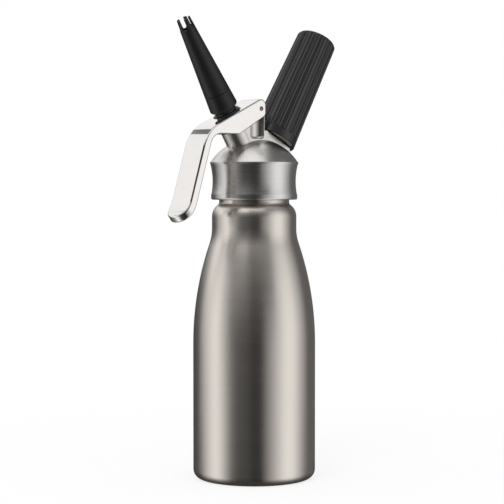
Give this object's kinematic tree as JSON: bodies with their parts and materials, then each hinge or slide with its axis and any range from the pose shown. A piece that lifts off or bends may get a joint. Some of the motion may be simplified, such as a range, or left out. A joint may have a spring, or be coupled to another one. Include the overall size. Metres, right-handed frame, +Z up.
{
  "type": "cream whipper",
  "caption": "Steel cream whipper bottle with a screw-on lever head, a tapered decorating nozzle and a fluted holder for a small gas charger.",
  "frame": {"origin": "centre of the bottle's flat base, on the bottle's axis", "axes": "+Z up along the bottle's axis; the lever and nozzle lean towards -X, the charger holder towards +X"},
  "size_m": [0.1352, 0.082, 0.3072],
  "materials": {
    "brushed_bottle_steel": "brushed around the bottle",
    "turned_steel": "turned",
    "silicone_rubber": "matt moulded silicone",
    "satin_aluminium": "satin cast and turned",
    "bearing_bronze": "plain turned",
    "polished_steel": "mirror polished",
    "spring_steel": "drawn wire",
    "blackened_steel": "black oxide",
    "charger_steel": "zinc plated",
    "black_plastic": "fine matt grain",
    "black_rubber": "moulded"
  },
  "bodies": {
    "bottle": {"bottle": "brushed_bottle_steel", "neck_ring": "turned_steel"},
    "gasket": {"head_gasket": "silicone_rubber"},
    "head": {"head_casting": "satin_aluminium", "collar_ring": "satin_aluminium", "pivot_bush": "bearing_bronze", "valve_spring": "spring_steel", "charger_stud": "blackened_steel", "stud_seal": "black_rubber", "piercing_pin": "turned_steel", "pin_screw": "bearing_bronze", "inlet_valve": "black_rubber", "charger_gasket": "black_rubber"},
    "lever": {"lever": "polished_steel", "lever_pin": "turned_steel"},
    "valve": {"valve_stem": "turned_steel", "valve_seal": "black_rubber", "stem_o_ring": "black_rubber", "spring_collar": "turned_steel", "nozzle_adapter": "black_plastic"},
    "nozzle_ring": {"nozzle_seal": "black_rubber"},
    "nozzle": {"decorating_nozzle": "black_plastic"},
    "charger": {"charger_capsule": "charger_steel"},
    "holder": {"charger_sleeve": "black_plastic", "sleeve_insert": "turned_steel"}
  },
  "joints": [
    {"name": "head_lift", "type": "slide", "parent": "bottle", "child": "gasket", "axis": [0, 0, 1], "range_m": [0, 0.08]},
    {"name": "head_turn", "type": "hinge", "parent": "gasket", "child": "head", "pos_m": [0, 0, 0.21284], "axis": [0, 0, 1], "continuous": true},
    {"name": "lever_squeeze", "type": "hinge", "parent": "head", "child": "lever", "pos_m": [-0.0024, 0, 0.24804], "axis": [0, -1, 0], "range_deg": [0, 9], "stiffness_Nm_per_rad": 1.1, "springref_deg": -8.59},
    {"name": "valve_press", "type": "slide", "parent": "head", "child": "valve", "axis": [0.5105, 0, -0.8599], "range_m": [0, 0.0032], "deforming": ["valve_spring"]},
    {"name": "nozzle_lift", "type": "slide", "parent": "valve", "child": "nozzle_ring", "axis": [-0.5105, 0, 0.8599], "range_m": [0, 0.03]},
    {"name": "nozzle_turn", "type": "hinge", "parent": "nozzle_ring", "child": "nozzle", "pos_m": [0, 0, 0.20504], "axis": [-0.5105, 0, 0.8599], "continuous": true},
    {"name": "holder_lift", "type": "slide", "parent": "head", "child": "charger", "axis": [0.4985, 0, 0.8669], "range_m": [0, 0.06]},
    {"name": "holder_turn", "type": "hinge", "parent": "charger", "child": "holder", "pos_m": [0, 0, 0.19994], "axis": [0.4985, 0, 0.8669], "continuous": true}
  ],
  "couplings": [
    {"joint": "valve_press", "follows": "lever_squeeze", "m_per_rad": 0.019933}
  ]
}
